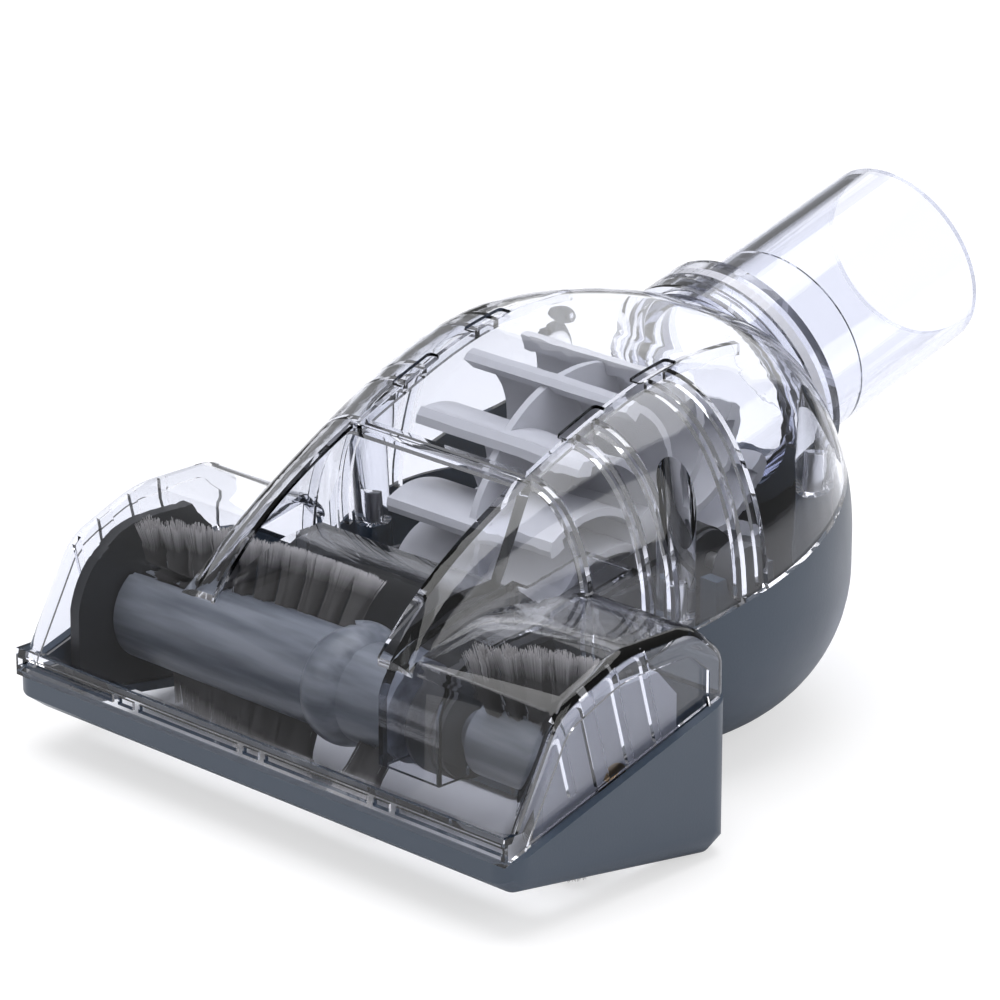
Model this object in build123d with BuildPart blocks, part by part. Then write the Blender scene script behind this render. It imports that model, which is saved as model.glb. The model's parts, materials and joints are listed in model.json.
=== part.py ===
# Turbine-driven mini brush head for a vacuum cleaner hose.
# Millimetres. X runs across the nozzle, Y from the nozzle lip to the hose end, Z up.
# The origin is on the floor, under the middle of the head.
from build123d import *
from math import cos, pi, radians, sin, tan
import os

os.makedirs("parts", exist_ok=True)

# Walls and clearances
wall = 1.8
inner_wall = 1.4
gap = 0.3
run_fit = 0.05
seat = 0.2

# Brush roller
roller_y = -61.0
roller_z = 20.6
bristle_radius = 20.0
core_radius = 9.7
stub_radius = 7.2
neck_radius = 4.2
collar_x = -3.0
collar_width = 9.0
collar_height = 1.8
roller_pin_radius = 1.6
roller_pin_grip = 8.0
roller_bush_radius = 3.6
end_play = 0.5
end_block_thickness = 2.4
end_block_front = 18.0
end_block_rear = 16.0
end_block_top = 17.5
bristle_root = 3.0
bristle_tip = 5.6
bristle_depth = 4.4
bristle_pitch = 4.7

# Nozzle
nozzle_half = 64.5
cover_step = 1.5
lip_room = 7.6
shoulder_room = 5.5
roof_room = 4.8
crest_room = 11.0
heel_room = 7.0
ledge_depth = 2.4
front_lean = 0.6
crest_drop = 7.0
arch_bends = (12.0, 24.0, 10.0, 5.0)
strip_height = 5.3
lip_lift = 8.0
heel_rise = 2.5
heel_depth = 5.0
corner_radius = 5.0
arch_radius = 3.0
rim_width = 5.0
rim_step = 0.8
end_rib_width = 1.6
end_rib_height = 0.9
end_rib_pitch = 7.6
end_rib_count = 4
end_rib_foot = 22.0
slot_length = 26.0
slot_height = 1.5
slot_depth = 1.1
slot_pitch = 33.0
slot_rise = 2.6
peg_length = 4.0
mouth_side_room = 7.0
mouth_corner = 3.0
mouth_front_room = 3.0
mouth_rear_room = 4.0

# Parting plane between the grey base and the clear cover
part_height = 39.7
part_angle = 15.4

# Bowl and hood over the turbine
bowl_y = -1.0
bowl_half = 48.2
bowl_flat = 20.0
bowl_spring = 30.0
hood_top = 75.0
hood_flat = 22.0
hood_spring = 36.0
hood_front_half = 30.0
hood_front_top = 38.5
scoop_half = 21.0
scoop_rear = -44.0
scoop_slope = 9.0
scoop_floor = 40.0
rib_thickness = 1.3
rib_height = 1.8
rail_end = 14.0
flank_ribs = (-30.0, -25.0, -11.0, -6.0)
catch_length = 10.0
catch_width = 3.2
catch_depth = 0.7
catch_places = (-27.5, -8.5)

# Turbine
turbine_y = 1.0
turbine_z = 36.0
turbine_radius = 31.0
turbine_left = -26.0
turbine_right = 15.0
turbine_disc = 1.6
turbine_disc_radius = 29.5
turbine_hub = 9.0
blade_count = 12
blade_thickness = 1.5
blade_sweep = 26.0
blade_start = 22.0
blade_lip = 3.0
shaft_radius = 1.5
guide_room = 1.6
guide_side = 1.6
guide_top_drop = 5.0
guide_end_angle = 40.0
cross_wall_room = 0.5
cross_wall_half = 44.0
cross_wall_top = 38.0
bearing_radius = 4.0
bearing_width = 3.0
bearing_x = 33.5
cap_wall = 1.3
post_thickness = 4.0
post_half = 8.0

# Belt drive
belt_x = 23.0
belt_width = 5.0
belt_thickness = 1.3
pulley_radius = 8.0
pinion_radius = 4.4
tooth_height = 0.8
pulley_teeth = 20
pinion_teeth = 11
flange_height = 1.2
flange_thickness = 1.0
tunnel_left_room = 8.0
tunnel_right_room = 7.0
tunnel_room = 1.1
tunnel_apex_y = -23.4
tunnel_apex_z = 42.0
tunnel_floor_drop = 6.6
tunnel_front_rise = 6.4
tunnel_crown_rise = 3.0
tunnel_tail = 20.0
tunnel_tail_z = 26.0

# Swivel neck
neck_tilt = 15.0
neck_inset = 14.856
neck_root_z = 54.64
neck_bore = 17.5
neck_radius_out = 19.5
neck_length = 55.5
neck_socket_depth = 34.0
neck_stop = 0.7
neck_flange_height = 1.8
neck_flange_width = 2.0
collar_wall = 2.0
collar_length = 11.0
seal_width = 2.0
seal_height = 1.4

# Screws
screw_radius = 1.4
screw_head_radius = 2.7
screw_head_height = 2.0
screw_hold = 8.0
screw_reach = 7.0
boss_radius = 3.6

part_plane = Plane(origin=(0, 0, part_height), x_dir=(1, 0, 0),
                   z_dir=(0, -sin(radians(part_angle)), cos(radians(part_angle))))
neck_plane = Plane(origin=(0, bowl_y + bowl_half - neck_inset, neck_root_z), x_dir=(1, 0, 0),
                   z_dir=(0, cos(radians(neck_tilt)), sin(radians(neck_tilt))))

arch_front = roller_y - bristle_radius - lip_room
nozzle_front = arch_front - ledge_depth
rear_wall = roller_y + bristle_radius + heel_room
heel_y = rear_wall - heel_depth
roof_z = roller_z + bristle_radius + roof_room
cover_half = nozzle_half - cover_step
mouth_half = nozzle_half - mouth_side_room
tunnel_left = belt_x - tunnel_left_room
tunnel_right = belt_x + tunnel_right_room
stub_right = cover_half - wall - end_rib_height - seat - end_block_thickness - end_play
stub_left = tunnel_right + 4 * gap
core_right = tunnel_left - 2 * gap
core_left = -stub_right
cross_wall_y = roller_y + bristle_radius + cross_wall_room


def seam_z(y):
    """Height of the parting plane at a station along the head."""
    return part_height + y * tan(radians(part_angle))


# Stations of the hood and bowl: place, top, flat half, full half, floor
stations = [
    (bowl_y, hood_top, hood_flat, bowl_half, 0.0),
    (bowl_y - 22.0, hood_top - 4.5, hood_flat, bowl_half - 3.7, 1.0),
    (scoop_rear, hood_top - 12.5, hood_flat, bowl_half - 10.2, 3.8),
    (roller_y - 2.0, hood_top - 22.5, hood_flat + 0.5, hood_front_half + 3.0, 8.0),
    (arch_front + 9.0, hood_front_top, hood_flat + 1.5, hood_front_half, 14.0),
]


def half_section(top, flat, half, floor, inset):
    """Right half of a hood and bowl section: flat roof, elliptic flanks, flat floor."""
    top = top - inset
    half = half - inset
    floor = floor + inset
    spring = min(hood_spring, top - wall / 4)
    Line((0, top), (flat, top))
    EllipticalCenterArc((flat, spring), half - flat, top - spring, start_angle=0, arc_size=90)
    Line((half, spring), (half, bowl_spring))
    EllipticalCenterArc((bowl_flat, bowl_spring), half - bowl_flat, bowl_spring - floor,
                        start_angle=270, arc_size=90)
    Line((bowl_flat, floor), (0, floor))


def hull(inset):
    """Hood and bowl in one, drawn in by an inset."""
    with BuildPart() as front:
        for place, (y, top, flat, half, floor) in enumerate(stations):
            last = place == len(stations) - 1
            y = y + inset if last else y
            with BuildSketch(Plane.XZ.offset(-y)):
                with BuildLine():
                    half_section(top, flat, half, floor, inset)
                    mirror(about=Plane.YZ)
                make_face()
        loft()
    with BuildPart() as rear:
        with BuildSketch(Plane.XZ.offset(-bowl_y)):
            with BuildLine():
                half_section(hood_top, hood_flat, bowl_half, 0.0, inset)
                Line((0, inset), (0, hood_top - inset))
            make_face()
        revolve(axis=Axis((0, bowl_y, 0), (0, 0, 1)), revolution_arc=180)
    with BuildPart() as whole:
        add(front.part)
        add(rear.part)
    return whole.part


def scooped_hull(inset):
    """Hull with the channel between the two front ridges taken out."""
    with BuildPart() as body:
        add(hull(inset))
        with BuildSketch(Plane.YZ):
            with BuildLine():
                Polyline((scoop_rear, hood_top + 20), (scoop_rear, hood_top - 13.5),
                         (scoop_rear - scoop_slope, roof_z - 2), (scoop_rear - 2 * scoop_slope, scoop_floor),
                         (arch_front + 16, scoop_floor - 2), (nozzle_front, scoop_floor - 8),
                         (nozzle_front, hood_top + 20), close=True)
            make_face()
            if inset > 0:
                offset(amount=inset, kind=Kind.INTERSECTION)
        extrude(amount=scoop_half + inset, both=True, mode=Mode.SUBTRACT)
    return body.part


def wall_ribs():
    """Ribs on the inside of the hood: two roof rails, the crossbar and the flank ribs."""
    bar_y = scoop_rear + wall
    with BuildPart() as ribs:
        with BuildSketch(Plane.XY):
            with Locations((0, bar_y)):
                Rectangle(2 * bowl_half, rib_thickness, align=(Align.CENTER, Align.MIN))
            for side in (-1, 1):
                with Locations((side * scoop_half, bar_y)):
                    Rectangle(rib_thickness, rail_end - bar_y, align=(Align.CENTER, Align.MIN))
                for y in flank_ribs:
                    with Locations((side * (scoop_half + bowl_half) / 2, y)):
                        Rectangle(bowl_half - scoop_half, rib_thickness)
        extrude(amount=hood_top)
        add(hull(wall / 2), mode=Mode.INTERSECT)
        add(hull(wall + rib_height), mode=Mode.SUBTRACT)
    return ribs.part


def end_ribs():
    """Ribs on the inside of the two end walls of the arch, square to the parting plane."""
    rib_y = roller_y + (end_rib_count - 1) * end_rib_pitch / 2
    with BuildPart() as ribs:
        for side in (-1, 1):
            with BuildSketch(Plane.YZ.offset(side * (cover_half - wall / 2))):
                for index in range(end_rib_count):
                    width = 2 * end_rib_width if index == 2 else end_rib_width
                    with Locations(Location((rib_y - index * end_rib_pitch, end_rib_foot), part_angle)):
                        Rectangle(width, roof_z - end_rib_foot, align=(Align.CENTER, Align.MIN))
            extrude(amount=-side * (wall / 2 + end_rib_height))
        add(nozzle_arch(wall / 2), mode=Mode.INTERSECT)
    return ribs.part


def catch_pockets():
    """Shallow pockets in the roof over the two rails."""
    with BuildPart() as pockets:
        with BuildSketch(Plane.XY):
            for y in catch_places:
                with Locations((-scoop_half, y), (scoop_half, y)):
                    RectangleRounded(catch_width, catch_length, catch_width / 4)
        extrude(amount=2 * hood_top)
        add(hull(catch_depth), mode=Mode.SUBTRACT)
    return pockets.part


def around_roller(angle, room):
    """Point at an angle up from the front of the roller, clear of its bristles."""
    reach = bristle_radius + room
    return (roller_y - reach * cos(radians(angle)), roller_z + reach * sin(radians(angle)))


ledge_z = seam_z(nozzle_front) + strip_height


def arch_profile(plane, inset):
    """Side outline of the clear arch on a plane, drawn in by an inset."""
    roof_rear = around_roller(128, crest_room)
    foot = (arch_front - front_lean * ledge_z, 0)
    with BuildSketch(plane) as outline:
        with BuildLine():
            FilletPolyline(foot, around_roller(47, shoulder_room), around_roller(88, roof_room), roof_rear,
                           (rear_wall, roof_rear[1] - crest_drop), (rear_wall, 0), radius=arch_bends)
            Line((rear_wall, 0), foot)
        make_face()
        if inset > 0:
            offset(amount=-inset, kind=Kind.INTERSECTION)
    return outline.sketch


def nozzle_arch(inset):
    """Clear arch over the roller, with the ledge of the front strip."""
    half = cover_half - inset
    with BuildPart() as body:
        extrude(arch_profile(Plane.YZ, inset), amount=half, both=True)
        if inset == 0:
            ends = body.faces().sort_by(Axis.X)
            rims = ends[0].edges() + ends[-1].edges()
            fillet(rims.filter_by(lambda edge: edge.center().Z > 1), arch_radius)
        with BuildSketch(Plane.YZ):
            with Locations((nozzle_front + inset, 0)):
                Rectangle(2 * ledge_depth + wall - inset, ledge_z - inset, align=Align.MIN)
        extrude(amount=half, both=True)
        # nothing stands in front of the strip
        with BuildSketch(Plane.YZ):
            with Locations((nozzle_front + inset, 0)):
                Rectangle(crest_room, 2 * roof_z, align=(Align.MAX, Align.CENTER))
        extrude(amount=nozzle_half, both=True, mode=Mode.SUBTRACT)
    return body.part


def nozzle_pan(inset):
    """Grey pan under the roller, with its sole sloping down to the heel."""
    half = nozzle_half - inset
    with BuildPart() as body:
        with BuildSketch(Plane.YZ):
            with BuildLine():
                Polyline((nozzle_front, roof_z), (nozzle_front, lip_lift + 3), (nozzle_front + 4, lip_lift),
                         (heel_y, 0), (rear_wall, heel_rise), (rear_wall, roof_z), close=True)
            make_face()
            if inset > 0:
                offset(amount=-inset, kind=Kind.INTERSECTION)
        extrude(amount=half, both=True)
        if inset == 0:
            ends = body.faces().sort_by(Axis.X)
            fillet(ends[0].edges().filter_by(lambda e: e.center().Z < roof_z - 1)
                   + ends[-1].edges().filter_by(lambda e: e.center().Z < roof_z - 1), corner_radius)
    return body.part


def neck_barrel(radius, start, end):
    """Cylinder on the neck axis between two distances from the tube's inner end."""
    with BuildPart() as body:
        with BuildSketch(neck_plane.offset(start)):
            Circle(radius)
        extrude(amount=end - start)
    return body.part


collar_radius = neck_radius_out + gap + neck_flange_height + collar_wall
collar_start = -gap - collar_wall
collar_end = collar_start + collar_length
seal_start = collar_end - collar_wall - seal_width
boss_places = [(38.0, -21.0), (-38.0, -21.0), (33.0, 23.0), (-33.0, 23.0)]


def neck_cavity():
    """Room in the housing for the neck tube, its flange and its seal."""
    with BuildPart() as body:
        add(neck_barrel(neck_radius_out + gap, collar_start - wall, neck_length))
        add(neck_barrel(neck_radius_out + neck_flange_height + gap, -gap, neck_flange_width + gap))
        add(neck_barrel(neck_radius_out + gap + seal_height, seal_start, seal_start + seal_width))
    return body.part


def sole_z(y):
    """Height of the outside of the sole at a station along the head."""
    return lip_lift * (heel_y - y) / (heel_y - nozzle_front - 4)


def inside_hull(tool):
    """The part of a solid that lies inside the middle of the housing wall."""
    with BuildPart() as body:
        add(tool)
        add(middle_hull, mode=Mode.INTERSECT)
    return body.part


room_inside = scooped_hull(wall)
middle_hull = hull(wall / 2)

with BuildPart() as boss_columns:
    with BuildSketch(Plane.XY):
        with Locations(*boss_places):
            Circle(boss_radius)
    extrude(amount=hood_top)

with BuildPart() as bearing_posts:
    for side in (-1, 1):
        with BuildSketch(Plane.YZ.offset(side * bearing_x - post_thickness / 2)):
            with Locations((turbine_y, turbine_z / 2)):
                Rectangle(2 * post_half, turbine_z)
            with Locations((turbine_y, turbine_z)):
                Circle(bearing_radius + cap_wall, mode=Mode.SUBTRACT)
        extrude(amount=post_thickness)

bosses = inside_hull(boss_columns.part)

# Base shell: pan, sole, bowl, bearing posts and screw bosses
mouth_front = roller_y - bristle_radius + mouth_front_room
mouth_rear = roller_y + bristle_radius - mouth_rear_room
with BuildPart() as base_shell:
    add(nozzle_pan(0))
    add(scooped_hull(0))
    add(nozzle_pan(wall), mode=Mode.SUBTRACT)
    add(room_inside, mode=Mode.SUBTRACT)
    add(neck_barrel(collar_radius, collar_start, collar_end))
    add(bosses)
    add(inside_hull(bearing_posts.part))
    add(neck_cavity(), mode=Mode.SUBTRACT)
    with BuildSketch(Plane.XY.offset(-wall)):
        with Locations((0, (mouth_front + mouth_rear) / 2)):
            RectangleRounded(2 * mouth_half, mouth_rear - mouth_front, mouth_corner)
    extrude(amount=roller_z, mode=Mode.SUBTRACT)
    for x, y in boss_places:
        with BuildSketch(Plane.XY):
            with Locations((x, y)):
                Circle(screw_radius + gap)
        extrude(amount=hood_top, mode=Mode.SUBTRACT)
        with BuildSketch(Plane.XY):
            with Locations((x, y)):
                Circle(screw_head_radius + gap)
        extrude(amount=seam_z(y) - screw_hold, mode=Mode.SUBTRACT)
    split(bisect_by=part_plane, keep=Keep.BOTTOM)
base_shell.part.label = "base_shell"
export_step(base_shell.part, "parts/base_shell.step")

# Top cover: one clear moulding, with the front strip, the arch, the hood and its ribs
with BuildPart() as top_cover:
    add(nozzle_arch(0))
    add(scooped_hull(0))
    add(nozzle_arch(wall), mode=Mode.SUBTRACT)
    add(room_inside, mode=Mode.SUBTRACT)
    add(neck_barrel(collar_radius, collar_start, collar_end))
    add(bosses)
    add(wall_ribs())
    add(end_ribs())
    add(neck_cavity(), mode=Mode.SUBTRACT)
    add(catch_pockets(), mode=Mode.SUBTRACT)
    # rim round each end wall
    for side in (-1, 1):
        extrude(arch_profile(Plane.YZ.offset(side * (cover_half - rim_step)), rim_width), amount=side * wall,
                mode=Mode.SUBTRACT)
    # slots and pegs along the front strip
    with BuildSketch(Plane.XZ.offset(-nozzle_front)):
        with GridLocations(slot_pitch, 1, 4, 1):
            with Locations((0, ledge_z - slot_rise)):
                Rectangle(slot_length, slot_height)
        with GridLocations(slot_pitch, 1, 3, 1):
            with Locations((0, ledge_z - slot_rise)):
                Rectangle(peg_length, slot_height)
    extrude(amount=-slot_depth, mode=Mode.SUBTRACT)
    for x, y in boss_places:
        with BuildSketch(Plane.XY):
            with Locations((x, y)):
                Circle(screw_radius)
        extrude(amount=seam_z(y) + screw_reach + gap, mode=Mode.SUBTRACT)
    split(bisect_by=part_plane, keep=Keep.TOP)
top_cover.part.label = "top_cover"
export_step(top_cover.part, "parts/top_cover.step")

# Belt cover: clear box over the roller pulley, with a tunnel that rises towards the hood
belt_room = belt_thickness + gap + tunnel_room
tunnel_front = roller_y - pulley_radius - belt_room - inner_wall
tunnel_floor = roller_z - tunnel_floor_drop
tunnel_crown = roller_z + pulley_radius + belt_room + inner_wall + tunnel_crown_rise


def tunnel_profile(plane, inset):
    """Side outline of the belt cover on a plane, drawn in by an inset."""
    with BuildSketch(plane) as outline:
        with BuildLine():
            Polyline((roller_y - 2, tunnel_crown), (tunnel_apex_y, tunnel_apex_z),
                     (tunnel_apex_y + tunnel_tail, tunnel_tail_z), (rear_wall + wall, tunnel_floor + 6),
                     (roller_y + 14, tunnel_floor), (tunnel_front, tunnel_floor),
                     (tunnel_front, roller_z + tunnel_front_rise))
            ThreePointArc((tunnel_front, roller_z + tunnel_front_rise),
                          (tunnel_front + 3.2, tunnel_crown - 3.2), (roller_y - 2, tunnel_crown))
        make_face()
        if inset > 0:
            offset(amount=-inset, kind=Kind.INTERSECTION)
    return outline.sketch


with BuildPart() as belt_cover:
    extrude(tunnel_profile(Plane.YZ.offset(tunnel_left), 0), amount=tunnel_right - tunnel_left)
    extrude(tunnel_profile(Plane.YZ.offset(tunnel_left + inner_wall), inner_wall),
            amount=tunnel_right - tunnel_left - 2 * inner_wall, mode=Mode.SUBTRACT)
    # open under the belt and at the rear end
    with BuildSketch(Plane.YZ.offset(tunnel_left + inner_wall)):
        with BuildLine():
            Polyline((tunnel_front + inner_wall, roller_z), (tunnel_front + inner_wall, 0), (turbine_y + 10, 0),
                     (turbine_y + 10, turbine_z), (tunnel_apex_y + 3, tunnel_apex_z - inner_wall),
                     close=True)
        make_face()
    extrude(amount=tunnel_right - tunnel_left - 2 * inner_wall, mode=Mode.SUBTRACT)
    # the left wall stops short of the turbine
    with BuildSketch(Plane.YZ.offset(tunnel_left)):
        with Locations((cross_wall_y + inner_wall, 0)):
            Rectangle(2 * bowl_half, 2 * hood_top, align=(Align.MIN, Align.CENTER))
    extrude(amount=turbine_right + guide_side + inner_wall + gap - tunnel_left, mode=Mode.SUBTRACT)
    # slots that pass over the neck of the roller
    with BuildSketch(Plane.YZ.offset(tunnel_left)):
        with Locations((roller_y, roller_z)):
            Circle(neck_radius + 2 * gap)
        with Locations((roller_y, roller_z - tunnel_floor_drop)):
            Rectangle(2 * (neck_radius + 2 * gap), 2 * tunnel_floor_drop)
    extrude(amount=tunnel_right - tunnel_left, mode=Mode.SUBTRACT)
belt_cover.part.label = "belt_cover"
export_step(belt_cover.part, "parts/belt_cover.step")

# Air guide: dark trough round the lower half of the turbine, a ramp and a cross wall
guide_inner = turbine_radius + guide_room
guide_outer = guide_inner + inner_wall
guide_left = turbine_left - guide_side - inner_wall
guide_right = turbine_right + guide_side + inner_wall
cross_wall_foot = sole_z(cross_wall_y) + wall + 2 * seat
end_y = turbine_y + guide_outer * cos(radians(guide_end_angle))
end_z = turbine_z - guide_outer * sin(radians(guide_end_angle))
with BuildPart() as room_over_sole:
    add(hull(wall + seat))
    add(nozzle_pan(wall + seat))
with BuildPart() as air_guide:
    with BuildSketch(Plane.YZ.offset(guide_left)):
        with Locations((turbine_y, turbine_z)):
            Circle(guide_outer)
        with BuildLine():
            Polyline((turbine_y, turbine_z - guide_top_drop), (-bowl_half, turbine_z - guide_top_drop),
                     (-bowl_half, -guide_outer), (end_y + guide_outer, -guide_outer), (end_y, end_z), close=True)
        make_face(mode=Mode.INTERSECT)
    extrude(amount=guide_right - guide_left)
    with BuildSketch(Plane.YZ.offset(guide_left + inner_wall)):
        with Locations((turbine_y, turbine_z)):
            Circle(guide_inner)
    extrude(amount=guide_right - guide_left - 2 * inner_wall, mode=Mode.SUBTRACT)
    # ramp from the cross wall to the trough
    with BuildSketch(Plane.YZ.offset(guide_left)):
        with BuildLine():
            Polyline((cross_wall_y, cross_wall_top), (cross_wall_y + inner_wall, cross_wall_top),
                     (turbine_y - guide_inner, turbine_z - guide_top_drop),
                     (turbine_y - guide_outer, turbine_z - guide_top_drop - 2),
                     (cross_wall_y, cross_wall_top - inner_wall), close=True)
        make_face()
    extrude(amount=tunnel_left - gap - guide_left)
    with BuildSketch(Plane.XZ.offset(-cross_wall_y)):
        with BuildLine():
            Polyline((-cross_wall_half, cross_wall_foot), (cross_wall_half, cross_wall_foot),
                     (cross_wall_half, cross_wall_top - 8), (cross_wall_half - 8, cross_wall_top),
                     (8 - cross_wall_half, cross_wall_top), (-cross_wall_half, cross_wall_top - 8), close=True)
        make_face()
    extrude(amount=-inner_wall)
    with BuildSketch(Plane.XZ.offset(-cross_wall_y)):
        with Locations(((tunnel_left + tunnel_right) / 2, tunnel_floor)):
            Rectangle(tunnel_right - tunnel_left, hood_top, align=(Align.CENTER, Align.MIN))
    extrude(amount=-inner_wall, mode=Mode.SUBTRACT)
    add(room_over_sole.part, mode=Mode.INTERSECT)
air_guide.part.label = "air_guide"
export_step(air_guide.part, "parts/air_guide.step")

# Turbine rotor: two discs, a hub and curved blades
turbine_plane = Plane(origin=(turbine_left, turbine_y, turbine_z), x_dir=(0, 1, 0), z_dir=(1, 0, 0))
turbine_width = turbine_right - turbine_left
sweep_back = radians(blade_sweep)
blade_waist = 0.66 * turbine_radius
with BuildSketch() as blade:
    with BuildLine():
        ThreePointArc((turbine_hub - 1, 0),
                      (blade_waist * cos(0.25 * sweep_back), blade_waist * sin(0.25 * sweep_back)),
                      (turbine_radius * cos(sweep_back), turbine_radius * sin(sweep_back)))
    trace(line_width=blade_thickness)
    # thick lip along the tip
    lip_start = turbine_radius - blade_lip
    with BuildLine():
        Line((lip_start * cos(0.86 * sweep_back), lip_start * sin(0.86 * sweep_back)),
             (turbine_radius * cos(sweep_back), turbine_radius * sin(sweep_back)))
    trace(line_width=2 * blade_thickness)
with BuildPart() as turbine_rotor:
    with BuildSketch(turbine_plane):
        Circle(turbine_hub)
        with PolarLocations(0, blade_count, start_angle=blade_start):
            add(blade.sketch)
        Circle(turbine_radius, mode=Mode.INTERSECT)
        Circle(shaft_radius, mode=Mode.SUBTRACT)
    extrude(amount=turbine_width)
    with BuildSketch(turbine_plane.offset((turbine_width - turbine_disc) / 2)):
        Circle(turbine_disc_radius)
        Circle(shaft_radius, mode=Mode.SUBTRACT)
    extrude(amount=turbine_disc)
turbine_rotor.part.label = "turbine_rotor"
export_step(turbine_rotor.part, "parts/turbine_rotor.step")

# Turbine shaft, bearings and caps
shaft_half = bearing_x + bearing_width / 2
axis_plane = Plane(origin=(0, turbine_y, turbine_z), x_dir=(0, 1, 0), z_dir=(1, 0, 0))
with BuildPart() as turbine_shaft:
    with BuildSketch(axis_plane.offset(-shaft_half)):
        Circle(shaft_radius)
    extrude(amount=2 * shaft_half)
turbine_shaft.part.label = "turbine_shaft"
export_step(turbine_shaft.part, "parts/turbine_shaft.step")

for side, name in ((-1, "left"), (1, "right")):
    inner_face = axis_plane.offset(side * (bearing_x - bearing_width / 2))
    with BuildPart() as turbine_bearing:
        with BuildSketch(inner_face):
            Circle(bearing_radius)
            Circle(shaft_radius + run_fit, mode=Mode.SUBTRACT)
        extrude(amount=side * bearing_width)
    turbine_bearing.part.label = "turbine_bearing_" + name
    export_step(turbine_bearing.part, "parts/turbine_bearing_" + name + ".step")
    with BuildPart() as bearing_cap:
        with BuildSketch(inner_face):
            Circle(bearing_radius + cap_wall)
        extrude(amount=side * (bearing_width + cap_wall + gap))
        with BuildSketch(inner_face):
            Circle(bearing_radius)
        extrude(amount=side * bearing_width, mode=Mode.SUBTRACT)
        with BuildSketch(inner_face):
            Circle(shaft_radius + gap)
        extrude(amount=side * (bearing_width + gap), mode=Mode.SUBTRACT)
    bearing_cap.part.label = "bearing_cap_" + name
    export_step(bearing_cap.part, "parts/bearing_cap_" + name + ".step")


def toothed_wheel(plane, radius, teeth, bore):
    """Belt wheel between two flanges, centred on a plane across its axis."""
    face = belt_width + 2 * gap
    with BuildSketch() as outline:
        Circle(radius - tooth_height)
        with PolarLocations(radius - tooth_height, teeth):
            Rectangle(2 * tooth_height, pi * (radius - tooth_height) / teeth)
        Circle(radius, mode=Mode.INTERSECT)
    with BuildPart() as wheel:
        with BuildSketch(plane.offset(-face / 2)):
            add(outline.sketch)
            Circle(bore, mode=Mode.SUBTRACT)
        extrude(amount=face)
        for side in (-1, 1):
            with BuildSketch(plane.offset(side * face / 2)):
                Circle(radius + flange_height)
                Circle(bore, mode=Mode.SUBTRACT)
            extrude(amount=side * flange_thickness)
    return wheel.part


roller_plane = Plane(origin=(0, roller_y, roller_z), x_dir=(0, 1, 0), z_dir=(1, 0, 0))
with BuildPart() as drive_pinion:
    add(toothed_wheel(axis_plane.offset(belt_x), pinion_radius, pinion_teeth, shaft_radius))
drive_pinion.part.label = "drive_pinion"
export_step(drive_pinion.part, "parts/drive_pinion.step")

with BuildPart() as roller_pulley:
    add(toothed_wheel(roller_plane.offset(belt_x), pulley_radius, pulley_teeth, neck_radius))
roller_pulley.part.label = "roller_pulley"
export_step(roller_pulley.part, "parts/roller_pulley.step")


def belt_loop(plane, room):
    """Outline of the belt path round both wheels, at a distance from the tooth tips."""
    with BuildSketch(plane) as loop:
        with Locations((roller_y, roller_z)):
            Circle(pulley_radius + room)
        with Locations((turbine_y, turbine_z)):
            Circle(pinion_radius + room)
        make_hull()
    return loop.sketch


with BuildPart() as drive_belt:
    belt_plane = Plane.YZ.offset(belt_x - belt_width / 2)
    extrude(belt_loop(belt_plane, gap + belt_thickness), amount=belt_width)
    extrude(belt_loop(belt_plane, gap), amount=belt_width, mode=Mode.SUBTRACT)
drive_belt.part.label = "drive_belt"
export_step(drive_belt.part, "parts/drive_belt.step")

# Brush roller: long core with a collar, a neck under the belt and a short stub
with BuildPart() as brush_roller:
    for start, end, radius in ((core_left, core_right, core_radius),
                               (core_right, stub_left, neck_radius),
                               (stub_left, stub_right, stub_radius)):
        with BuildSketch(roller_plane.offset(start)):
            Circle(radius)
        extrude(amount=end - start)
    with BuildSketch(Plane(origin=(collar_x, roller_y, roller_z), x_dir=(1, 0, 0), z_dir=(0, -1, 0))):
        with BuildLine():
            ThreePointArc((-collar_width / 2, core_radius), (0, core_radius + collar_height),
                          (collar_width / 2, core_radius))
            Polyline((collar_width / 2, core_radius), (collar_width / 2, core_radius - 1),
                     (-collar_width / 2, core_radius - 1), (-collar_width / 2, core_radius))
        make_face()
    revolve(axis=Axis((0, roller_y, roller_z), (1, 0, 0)))
    for end_face, depth in ((core_left, roller_pin_grip), (stub_right, -roller_pin_grip)):
        with BuildSketch(roller_plane.offset(end_face)):
            Circle(roller_pin_radius)
        extrude(amount=depth, mode=Mode.SUBTRACT)
brush_roller.part.label = "brush_roller"
export_step(brush_roller.part, "parts/brush_roller.step")


def bristle_row(name, start, end, root_radius, first_angle, twist):
    """Row of bristle tufts on the roller; angles are up from the front, twist over its length."""
    count = round((end - start) / bristle_pitch) + 1
    with BuildPart() as row:
        for tuft in range(count):
            share = tuft / (count - 1)
            angle = radians(first_angle + twist * share)
            x = start + (end - start) * share
            if abs(x - collar_x) < (collar_width + bristle_root) / 2 + gap:
                continue
            up = Vector(0, -cos(angle), sin(angle))
            foot = Vector(x, roller_y, roller_z) + up * (root_radius + run_fit)
            for place, width, depth in ((foot, bristle_root, bristle_root),
                                        (foot + up * 2, bristle_root, bristle_root),
                                        (Vector(x, roller_y, roller_z) + up * bristle_radius,
                                         bristle_tip, bristle_depth)):
                with BuildSketch(Plane(origin=place, x_dir=(1, 0, 0), z_dir=up)):
                    Rectangle(width, depth)
            loft(ruled=True)
    row.part.label = name
    export_step(row.part, "parts/" + name + ".step")


bristle_row("bristles_long_a", core_left + 5, collar_x - 7, core_radius, 75, 50)
bristle_row("bristles_long_b", core_left + 5, core_right - 3, core_radius, 255, 60)
bristle_row("bristles_short_a", stub_left + 3.5, stub_right - bristle_pitch, stub_radius, 70, 30)
bristle_row("bristles_short_b", stub_left + 3.5, stub_right - bristle_pitch, stub_radius, 250, 30)

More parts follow.
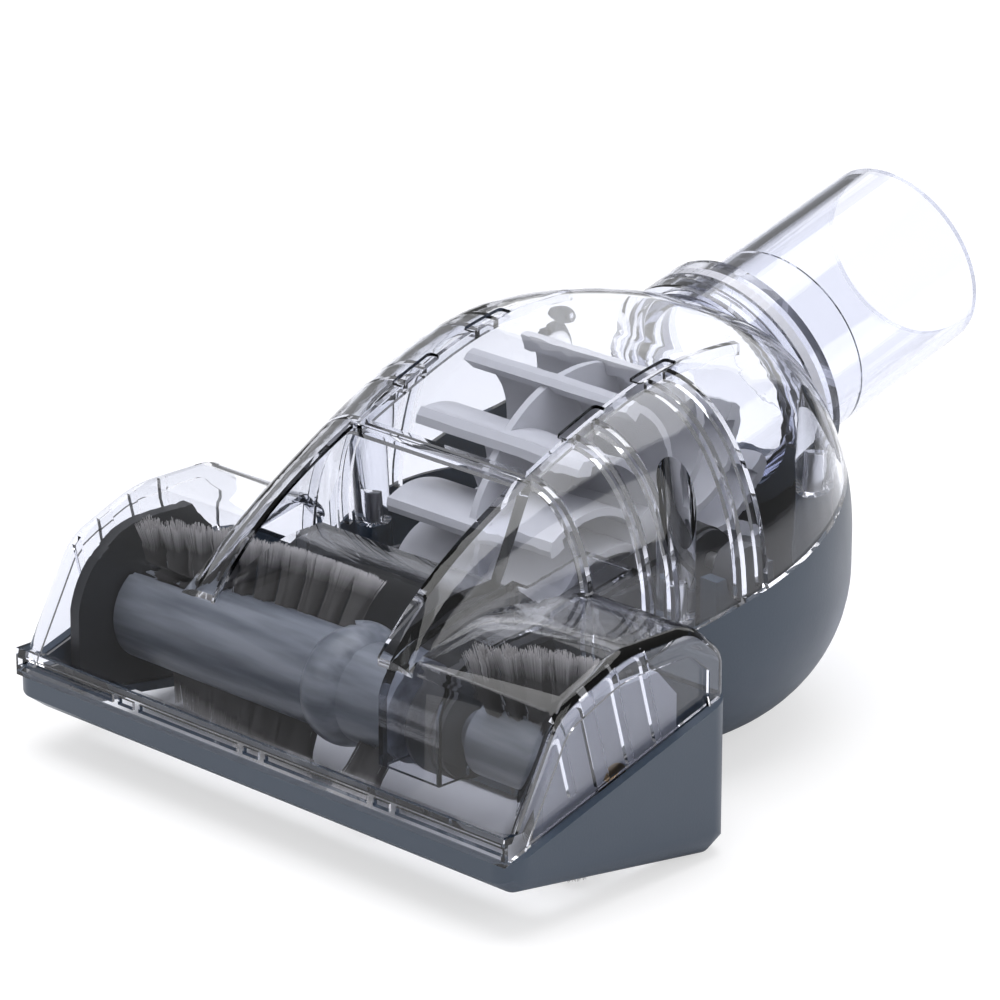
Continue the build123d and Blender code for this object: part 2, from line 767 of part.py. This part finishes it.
# Roller pins, bushes and end blocks
for side, name, face in ((-1, "left", core_left), (1, "right", stub_right)):
    block_face = roller_plane.offset(face + side * end_play)
    with BuildPart() as roller_pin:
        with BuildSketch(roller_plane.offset(face - side * roller_pin_grip)):
            Circle(roller_pin_radius)
        extrude(amount=side * (roller_pin_grip + end_play + end_block_thickness - gap))
    roller_pin.part.label = "roller_pin_" + name
    export_step(roller_pin.part, "parts/roller_pin_" + name + ".step")
    with BuildPart() as roller_bush:
        with BuildSketch(block_face):
            Circle(roller_bush_radius)
            Circle(roller_pin_radius + run_fit, mode=Mode.SUBTRACT)
        extrude(amount=side * end_block_thickness)
    roller_bush.part.label = "roller_bush_" + name
    export_step(roller_bush.part, "parts/roller_bush_" + name + ".step")
    with BuildPart() as end_block:
        front_y = roller_y - end_block_front
        rear_y = roller_y + end_block_rear
        top_z = roller_z + end_block_top
        floor_room = wall + 2 * seat
        with BuildSketch(Plane.YZ.offset(face + side * end_play)):
            with BuildLine():
                Polyline((front_y, roller_z + 4), (front_y, sole_z(front_y) + floor_room),
                         (rear_y, sole_z(rear_y) + floor_room), (rear_y, roller_z + 12), (rear_y - 5, top_z))
                Line((rear_y - 5, top_z), (roller_y, top_z))
                shoulder = (roller_y - 0.75 * end_block_front, roller_z + 0.72 * end_block_top)
                ThreePointArc((roller_y, top_z), shoulder, (front_y, roller_z + 4))
            make_face()
            with Locations((roller_y, roller_z)):
                Circle(roller_bush_radius, mode=Mode.SUBTRACT)
        extrude(amount=side * end_block_thickness)
    end_block.part.label = "end_block_" + name
    export_step(end_block.part, "parts/end_block_" + name + ".step")

# Neck tube: hose socket, stop step and retaining flange
with BuildPart() as neck_tube:
    add(neck_barrel(neck_radius_out, 0, neck_length))
    add(neck_barrel(neck_radius_out + neck_flange_height, 0, neck_flange_width))
    add(neck_barrel(neck_bore - neck_stop, 0, neck_length), mode=Mode.SUBTRACT)
    add(neck_barrel(neck_bore, neck_length - neck_socket_depth, neck_length), mode=Mode.SUBTRACT)
neck_tube.part.label = "neck_tube"
export_step(neck_tube.part, "parts/neck_tube.step")

# Neck seal: felt ring in its groove round the tube
with BuildPart() as neck_seal:
    with BuildSketch(neck_plane.offset(seal_start)):
        Circle(neck_radius_out + gap + seal_height)
        Circle(neck_radius_out + gap, mode=Mode.SUBTRACT)
    extrude(amount=seal_width)
neck_seal.part.label = "neck_seal"
export_step(neck_seal.part, "parts/neck_seal.step")

# Cover screws, driven up from under the bowl
with BuildPart() as cover_screws:
    for x, y in boss_places:
        head_z = seam_z(y) - screw_hold - screw_head_height
        with BuildSketch(Plane.XY.offset(head_z)):
            with Locations((x, y)):
                Circle(screw_head_radius)
        extrude(amount=screw_head_height)
        with BuildSketch(Plane.XY.offset(head_z)):
            with Locations((x, y)):
                Circle(screw_radius)
        extrude(amount=screw_head_height + screw_hold + screw_reach)
cover_screws.part.label = "cover_screws"
export_step(cover_screws.part, "parts/cover_screws.step")
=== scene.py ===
import json
from math import cos, pi, radians, sin
from random import Random

import bpy
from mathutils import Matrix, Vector


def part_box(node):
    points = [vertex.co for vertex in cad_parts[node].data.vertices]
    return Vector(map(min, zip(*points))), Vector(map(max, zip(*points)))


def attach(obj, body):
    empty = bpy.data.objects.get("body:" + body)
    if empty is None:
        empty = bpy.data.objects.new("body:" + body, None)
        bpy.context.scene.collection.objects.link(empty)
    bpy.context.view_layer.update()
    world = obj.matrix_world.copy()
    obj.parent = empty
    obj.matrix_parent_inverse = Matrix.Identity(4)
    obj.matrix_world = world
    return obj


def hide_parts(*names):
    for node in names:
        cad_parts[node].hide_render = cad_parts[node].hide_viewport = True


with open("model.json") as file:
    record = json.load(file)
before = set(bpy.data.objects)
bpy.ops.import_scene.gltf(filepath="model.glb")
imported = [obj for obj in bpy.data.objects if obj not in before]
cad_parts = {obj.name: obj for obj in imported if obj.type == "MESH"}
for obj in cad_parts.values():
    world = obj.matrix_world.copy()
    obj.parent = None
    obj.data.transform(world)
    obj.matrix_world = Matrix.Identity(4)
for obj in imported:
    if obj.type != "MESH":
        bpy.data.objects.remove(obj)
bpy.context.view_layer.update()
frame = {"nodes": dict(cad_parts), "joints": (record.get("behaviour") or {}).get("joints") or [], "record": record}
nodes = frame["nodes"]

# Camera: azimuth turns the view from +Y towards -X, and the view centre is the middle of the picture
view_azimuth = radians(44.0)
view_elevation = radians(20.5)
view_distance = 1.003
view_centre = Vector((-0.0057, -0.0210, 0.0452))
view_depth = 20.0
lens = 194.4
sensor = 36.0

# Sky: its light on the part, what glossy surfaces mirror of it and what the camera sees of it
sky_strength = 0.62
sky_reflection = 0.22
seen_sky_strength = 1.0

# Floor: it lies just under the part, and the camera alone sees it in a second colour, lifted by a glow
floor_radius = 6.0
floor_sides = 96
floor_drop = 0.0001
floor_colour = (0.86, 0.865, 0.90)
floor_seen_colour = (0.42, 0.42, 0.43)
floor_lift = 0.60

# Lamps: place, width and height, power; all point at one place inside the part
lamp_aim = Vector((0, 0, 0.03))
lamps = {
    "top_lamp": ((-0.15, 0.05, 1.25), (1.3, 1.3), 14.0),
    "front_lamp": ((-0.55, -1.25, 0.75), (0.8, 0.8), 1.8),
    "side_lamp": ((1.2, -0.1, 0.7), (0.7, 0.9), 3.5),
    "back_lamp": ((-0.6, 1.2, 0.7), (1.2, 0.6), 2.5),
}

# Moulded plastics and rubber: colour, lowest and highest roughness
moulded_looks = {
    "end_panel": ((0.225, 0.236, 0.285), (0.35, 0.50)),
    "base_plastic": ((0.033, 0.049, 0.073), (0.30, 0.42)),
    "dark_plastic": ((0.026, 0.028, 0.034), (0.35, 0.48)),
    "black_plastic": ((0.012, 0.013, 0.016), (0.35, 0.50)),
    "turbine_plastic": ((0.530, 0.535, 0.570), (0.28, 0.40)),
    "belt_rubber": ((0.015, 0.015, 0.016), (0.60, 0.75)),
}
moulded_grain_scale = 2200.0
moulded_grain_height = 0.00002
gloss_scale = 90.0

# Felt of the neck seal
felt_colour = (0.700, 0.700, 0.740)
felt_roughness = (0.85, 0.95)
felt_grain_height = 0.0001

# Roller plastic, with pale streaks drawn out along X: partly painted sheen for the roller's satin highlights,
# partly uneven tone
roller_colour = (0.092, 0.104, 0.126)
roller_roughness = (0.26, 0.36)
sheen_streak_colour = (0.215, 0.232, 0.262)
streak_scale = 260.0
streak_detail = 3.0
streak_stretch = (0.12, 1, 1)
streak_from = 0.38
streak_full = 0.68

# Metals: colour and roughness
metal_looks = {
    "steel": ((0.560, 0.560, 0.570), 0.28),
    "bronze": ((0.420, 0.290, 0.150), 0.40),
}
metal_grain_scale = 1500.0
metal_grain_height = 0.00001

# Clear plastics: tint of the surface and how strongly the inside absorbs, apart from the passed colour
clear_looks = {
    "clear_plastic": ((0.958, 0.966, 0.996), 32.0),
    "clear_tube": ((0.935, 0.945, 0.990), 80.0),
}
passed_colour = (0.60, 0.62, 0.70)
clear_roughness = 0.0
clear_refraction = 1.46
ripple_scale = 60.0
ripple_height = 0.00002

# Bristle hair: a scale from 0 at a share of its reach to 1 at the tip says where it starts to turn pale
hair_colour = (0.062, 0.058, 0.056)
hair_tip_colour = (0.640, 0.620, 0.610)
hair_roughness = 0.45
hair_scale_start = 0.45
hair_pale_from = 0.55

# CAD nodes whose look isn't that of their material slot
own_looks = {"end_block_right": "end_panel", "neck_tube": "clear_tube"}

# Shading of the CAD nodes
weld_distance = 1e-6
crisp_angle = radians(28)

# Bristle tufts: reach from the roller's axis, width at root and tip, depth at the tip and spacing
bristle_reach = 0.0200
tuft_root = 0.0030
tuft_tip = 0.0054
tuft_depth = 0.0042
tuft_pitch = 0.0047

# Distance from the end of a CAD row to the middle of its end tuft, about half a tuft's tip
row_end_room = 0.0028

# Hairs of a tuft: they start inside the roller, vary in length and lean, and bow inwards at the middle
hairs_per_tuft = 210
hair_sides = 3
hair_radius = 0.00008
hair_tip_share = 0.6
hair_sink = 0.0006
hair_length_spread = 0.0006
hair_lean = 0.0003
hair_bow = 0.12

# Bristle rows: angle at the -X end, from the front upwards, and twist towards +X, in degrees
long_a_turn = (75, 50)
long_b_turn = (255, 60)
short_a_turn = (70, 30)
short_b_turn = (250, 30)

# Random seed of the first tuft in a long row and in a short row
long_seed = 1100
short_seed = 1200

# Radii of the roller's core and stub, and the collar's span along X, where no tuft stands
core_surface = 0.0097
stub_surface = 0.0072
collar_span = (-0.0093, 0.0033)

roller_axis = next(Vector(joint["pos_m"]) for joint in frame["joints"] if joint["name"] == "brush_spin")


def empty_tree(owner):
    """Switches a material or world to nodes, clears them and returns its node tree."""
    owner.use_nodes = True
    owner.node_tree.nodes.clear()
    return owner.node_tree


def new_material(name):
    """Empty node material; returns it with its node tree and output node."""
    material = bpy.data.materials.new(name)
    tree = empty_tree(material)
    return material, tree, tree.nodes.new("ShaderNodeOutputMaterial")


def principled_material(name):
    """Node material of one Principled shader; returns it with its node tree and shader."""
    material, tree, output = new_material(name)
    shader = tree.nodes.new("ShaderNodeBsdfPrincipled")
    tree.links.new(shader.outputs[0], output.inputs["Surface"])
    return material, tree, shader


def texture_position(tree):
    """Object coordinates, for textures that keep their place on the part."""
    return tree.nodes.new("ShaderNodeTexCoord").outputs["Object"]


def noise_at(tree, position, scale, detail=2.0):
    """Noise between 0 and 1 at a position."""
    noise = tree.nodes.new("ShaderNodeTexNoise")
    noise.inputs["Scale"].default_value = scale
    noise.inputs["Detail"].default_value = detail
    tree.links.new(position, noise.inputs["Vector"])
    return noise.outputs["Fac"]


def grain(tree, shader, scale, height, detail=2.0):
    """Fine surface grain as bump."""
    bump = tree.nodes.new("ShaderNodeBump")
    bump.inputs["Strength"].default_value = 1.0
    bump.inputs["Distance"].default_value = height
    tree.links.new(noise_at(tree, texture_position(tree), scale, detail), bump.inputs["Height"])
    tree.links.new(bump.outputs["Normal"], shader.inputs["Normal"])


def uneven_gloss(tree, shader, roughness):
    """Roughness that changes a little over the surface, between a lowest and a highest value."""
    spread = tree.nodes.new("ShaderNodeMapRange")
    spread.inputs["To Min"].default_value = roughness[0]
    spread.inputs["To Max"].default_value = roughness[1]
    tree.links.new(noise_at(tree, texture_position(tree), gloss_scale), spread.inputs["Value"])
    tree.links.new(spread.outputs["Result"], shader.inputs["Roughness"])


def ramp_between(tree, value, low, high):
    """Colour that follows a value between two ends, each a position and a colour."""
    ramp = tree.nodes.new("ShaderNodeValToRGB")
    for element, (position, colour) in zip(ramp.color_ramp.elements, (low, high)):
        element.position = position
        element.color = (*colour, 1)
    tree.links.new(value, ramp.inputs["Fac"])
    return ramp.outputs["Color"]


def by_ray(tree, kind, others, chosen):
    """Shader output that is the chosen one for one kind of ray, and the one for others otherwise."""
    path = tree.nodes.new("ShaderNodeLightPath")
    mix = tree.nodes.new("ShaderNodeMixShader")
    tree.links.new(path.outputs[kind], mix.inputs[0])
    tree.links.new(others, mix.inputs[1])
    tree.links.new(chosen, mix.inputs[2])
    return mix.outputs[0]


def moulded(name, colour, roughness, grain_height=moulded_grain_height):
    """Opaque moulded plastic, rubber or felt."""
    material, tree, shader = principled_material(name)
    shader.inputs["Base Color"].default_value = (*colour, 1)
    uneven_gloss(tree, shader, roughness)
    grain(tree, shader, moulded_grain_scale, grain_height)
    return material


def streaked(name):
    """Roller plastic: moulded, with faint pale streaks along X that are partly painted sheen and partly uneven
    tone.
    """
    material, tree, shader = principled_material(name)
    stretch = tree.nodes.new("ShaderNodeVectorMath")
    stretch.operation = "MULTIPLY"
    stretch.inputs[1].default_value = streak_stretch
    tree.links.new(texture_position(tree), stretch.inputs[0])
    noise = noise_at(tree, stretch.outputs["Vector"], streak_scale, streak_detail)
    # Pale streaks: partly painted sheen standing in for satin highlights, partly uneven tone
    streaks = ramp_between(tree, noise, (streak_from, roller_colour), (streak_full, sheen_streak_colour))
    tree.links.new(streaks, shader.inputs["Base Color"])
    uneven_gloss(tree, shader, roller_roughness)
    grain(tree, shader, moulded_grain_scale, moulded_grain_height)
    return material


def metal(name, colour, roughness):
    """Ground or sintered metal."""
    material, tree, shader = principled_material(name)
    shader.inputs["Base Color"].default_value = (*colour, 1)
    shader.inputs["Metallic"].default_value = 1.0
    shader.inputs["Roughness"].default_value = roughness
    grain(tree, shader, metal_grain_scale, metal_grain_height)
    return material


def clear_plastic(name, tint, absorption):
    """Clear moulded plastic that lets the lamps through to what it covers."""
    material, tree, output = new_material(name)
    shader = tree.nodes.new("ShaderNodeBsdfPrincipled")
    shader.inputs["Base Color"].default_value = (*tint, 1)
    shader.inputs["Roughness"].default_value = clear_roughness
    shader.inputs["IOR"].default_value = clear_refraction
    shader.inputs["Transmission Weight"].default_value = 1.0
    grain(tree, shader, ripple_scale, ripple_height, 0.0)
    inside = tree.nodes.new("ShaderNodeVolumeAbsorption")
    inside.inputs["Color"].default_value = (*passed_colour, 1)
    inside.inputs["Density"].default_value = absorption
    tree.links.new(inside.outputs[0], output.inputs["Volume"])
    through = tree.nodes.new("ShaderNodeBsdfTransparent")
    through.inputs["Color"].default_value = (*tint, 1)
    surface = by_ray(tree, "Is Shadow Ray", shader.outputs[0], through.outputs[0])
    tree.links.new(surface, output.inputs["Surface"])
    return material


def hair(name):
    """Nylon hair, paler towards its tips; the distance from the roller's axis sets the colour."""
    material, tree, shader = principled_material(name)
    shader.inputs["Roughness"].default_value = hair_roughness
    from_axis = tree.nodes.new("ShaderNodeVectorMath")
    from_axis.operation = "SUBTRACT"
    from_axis.inputs[1].default_value = roller_axis
    parts = tree.nodes.new("ShaderNodeSeparateXYZ")
    outwards = tree.nodes.new("ShaderNodeCombineXYZ")
    distance = tree.nodes.new("ShaderNodeVectorMath")
    distance.operation = "LENGTH"
    share = tree.nodes.new("ShaderNodeMapRange")
    share.inputs["From Min"].default_value = hair_scale_start * bristle_reach
    share.inputs["From Max"].default_value = bristle_reach
    tree.links.new(texture_position(tree), from_axis.inputs[0])
    tree.links.new(from_axis.outputs["Vector"], parts.inputs[0])
    tree.links.new(parts.outputs["Y"], outwards.inputs["Y"])
    tree.links.new(parts.outputs["Z"], outwards.inputs["Z"])
    tree.links.new(outwards.outputs[0], distance.inputs[0])
    tree.links.new(distance.outputs["Value"], share.inputs["Value"])
    root_end = (hair_pale_from, hair_colour)
    tip_end = (1.0, hair_tip_colour)
    colour = ramp_between(tree, share.outputs["Result"], root_end, tip_end)
    tree.links.new(colour, shader.inputs["Base Color"])
    return material


def dress(node, material):
    """Gives a CAD node its material and rounds its shading, with corners kept crisp."""
    node.data.materials.clear()
    node.data.materials.append(material)
    weld = node.modifiers.new("weld", "WELD")
    weld.merge_threshold = weld_distance
    split = node.modifiers.new("corners", "EDGE_SPLIT")
    split.split_angle = crisp_angle
    for face in node.data.polygons:
        face.use_smooth = True


def add_tuft(vertices, faces, seed, centre, up, root):
    """Adds one tuft of tapered hairs that spread from the roller's surface to the bristle reach."""
    random = Random(seed)
    along = Vector((1, 0, 0))
    across = up.cross(along)
    for _ in range(hairs_per_tuft):
        u = random.uniform(-1, 1)
        v = random.uniform(-1, 1)
        reach = bristle_reach - random.uniform(0, hair_length_spread)
        lean = random.uniform(-hair_lean, hair_lean)
        foot = centre + up * (root - hair_sink)
        foot = foot + along * (u * tuft_root / 2) + across * (v * tuft_root / 2)
        head = centre + up * reach + along * (u * tuft_tip / 2 + lean) + across * (v * tuft_depth / 2)
        middle = foot.lerp(head, 0.5)
        middle = middle + along * (-hair_bow * u * tuft_root) + across * (-hair_bow * v * tuft_root)
        first = len(vertices)
        rings = ((foot, hair_radius), (middle, hair_radius), (head, hair_tip_share * hair_radius))
        for place, radius in rings:
            for corner in range(hair_sides):
                turn = corner * 2 * pi / hair_sides
                vertices.append(place + along * (radius * cos(turn)) + across * (radius * sin(turn)))
        for low in (first, first + hair_sides):
            high = low + hair_sides
            for corner in range(hair_sides):
                after = (corner + 1) % hair_sides
                faces.append((low + corner, low + after, high + after, high + corner))
        tip = first + 2 * hair_sides
        faces.append(tuple(range(tip, tip + hair_sides)))
        faces.append(tuple(reversed(range(first, first + hair_sides))))


def tuft_places(row_box, gap=(0.0, 0.0)):
    """Tuft places along a row, each with its share of the row's length, without those inside a gap."""
    start = row_box[0].x + row_end_room
    end = row_box[1].x - row_end_room
    count = round((end - start) / tuft_pitch) + 1
    places = []
    for index in range(count):
        share = index / (count - 1)
        x = start + (end - start) * share
        if not gap[0] < x < gap[1]:
            places.append((x, share))
    return places


def hair_row(name, node_name, places, row_turn, root, seed):
    """Row of hair tufts that stands for a CAD bristle row."""
    first_angle, twist = row_turn
    vertices = []
    faces = []
    for index, (x, share) in enumerate(places):
        angle = radians(first_angle + twist * share)
        up = Vector((0, -cos(angle), sin(angle)))
        add_tuft(vertices, faces, seed + index, Vector((x, roller_axis.y, roller_axis.z)), up, root)
    data = bpy.data.meshes.new(name)
    data.from_pydata([tuple(vertex) for vertex in vertices], [], faces)
    data.materials.append(materials["bristle"])
    piece = bpy.data.objects.new(name, data)
    bpy.context.scene.collection.objects.link(piece)
    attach(piece, "roller")
    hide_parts(node_name)


def area_lamp(name, place, size, power):
    """Soft box that points at the part."""
    data = bpy.data.lights.new(name, "AREA")
    data.shape = "RECTANGLE"
    data.size, data.size_y = size
    data.energy = power
    lamp = bpy.data.objects.new(name, data)
    lamp.location = place
    lamp.rotation_euler = (lamp_aim - Vector(place)).to_track_quat("-Z", "Y").to_euler()
    bpy.context.scene.collection.objects.link(lamp)


def make_floor():
    """Large pale floor that reads as white and keeps the part's shadow."""
    bpy.ops.mesh.primitive_circle_add(vertices=floor_sides, radius=floor_radius, fill_type="NGON")
    floor = bpy.context.object
    floor.name = "floor"
    floor.location.z = -floor_drop
    material, tree, output = new_material("floor")
    matte = tree.nodes.new("ShaderNodeBsdfDiffuse")
    matte.inputs["Color"].default_value = (*floor_colour, 1)
    seen = tree.nodes.new("ShaderNodeBsdfDiffuse")
    seen.inputs["Color"].default_value = (*floor_seen_colour, 1)
    glow = tree.nodes.new("ShaderNodeEmission")
    glow.inputs["Strength"].default_value = floor_lift
    lifted = tree.nodes.new("ShaderNodeAddShader")
    tree.links.new(seen.outputs[0], lifted.inputs[0])
    tree.links.new(glow.outputs[0], lifted.inputs[1])
    surface = by_ray(tree, "Is Camera Ray", matte.outputs[0], lifted.outputs[0])
    tree.links.new(surface, output.inputs["Surface"])
    floor.data.materials.append(material)


def white_sky(tree, strength):
    """White background of one strength."""
    sky = tree.nodes.new("ShaderNodeBackground")
    sky.inputs["Color"].default_value = (1, 1, 1, 1)
    sky.inputs["Strength"].default_value = strength
    return sky.outputs[0]


def make_world():
    """Plain soft sky that the camera sees as white."""
    world = bpy.data.worlds.new("studio")
    tree = empty_tree(world)
    unseen = by_ray(tree, "Is Glossy Ray", white_sky(tree, sky_strength), white_sky(tree, sky_reflection))
    surface = by_ray(tree, "Is Camera Ray", unseen, white_sky(tree, seen_sky_strength))
    output = tree.nodes.new("ShaderNodeOutputWorld")
    tree.links.new(surface, output.inputs["Surface"])
    bpy.context.scene.world = world


def make_camera():
    """Camera at the photograph's viewing angle."""
    ahead = Vector((-sin(view_azimuth) * cos(view_elevation), cos(view_azimuth) * cos(view_elevation),
                    -sin(view_elevation)))
    data = bpy.data.cameras.new("camera")
    data.lens = lens
    data.sensor_width = sensor
    data.sensor_fit = "HORIZONTAL"
    data.clip_end = view_depth
    camera = bpy.data.objects.new("camera", data)
    camera.location = view_centre - ahead * view_distance
    camera.rotation_euler = ahead.to_track_quat("-Z", "Y").to_euler()
    bpy.context.scene.collection.objects.link(camera)
    bpy.context.scene.camera = camera


# Studio
make_world()
make_floor()
make_camera()
for lamp_name, (place, size, power) in lamps.items():
    area_lamp(lamp_name, place, size, power)

# Materials, named as the record's slots where they dress one
materials = {name: clear_plastic(name, tint, absorption) for name, (tint, absorption) in clear_looks.items()}
materials |= {name: moulded(name, colour, roughness) for name, (colour, roughness) in moulded_looks.items()}
materials |= {name: metal(name, colour, roughness) for name, (colour, roughness) in metal_looks.items()}
materials["roller_plastic"] = streaked("roller_plastic")
materials["felt"] = moulded("felt", felt_colour, felt_roughness, felt_grain_height)
materials["bristle"] = hair("bristle")

# CAD nodes
for subpart in frame["record"]["subparts"]:
    look = own_looks.get(subpart["node"], subpart["material_slot"])
    dress(nodes[subpart["node"]], materials[look])

# Bristle rows
long_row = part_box("bristles_long_a")
long_row_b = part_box("bristles_long_b")
short_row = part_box("bristles_short_a")
hair_row("hair_long_a", "bristles_long_a", tuft_places(long_row), long_a_turn, core_surface, long_seed)
hair_row("hair_long_b", "bristles_long_b", tuft_places(long_row_b, collar_span), long_b_turn, core_surface,
         long_seed)
hair_row("hair_short_a", "bristles_short_a", tuft_places(short_row), short_a_turn, stub_surface, short_seed)
hair_row("hair_short_b", "bristles_short_b", tuft_places(short_row), short_b_turn, stub_surface, short_seed)

bpy.context.scene.view_settings.view_transform = "Standard"
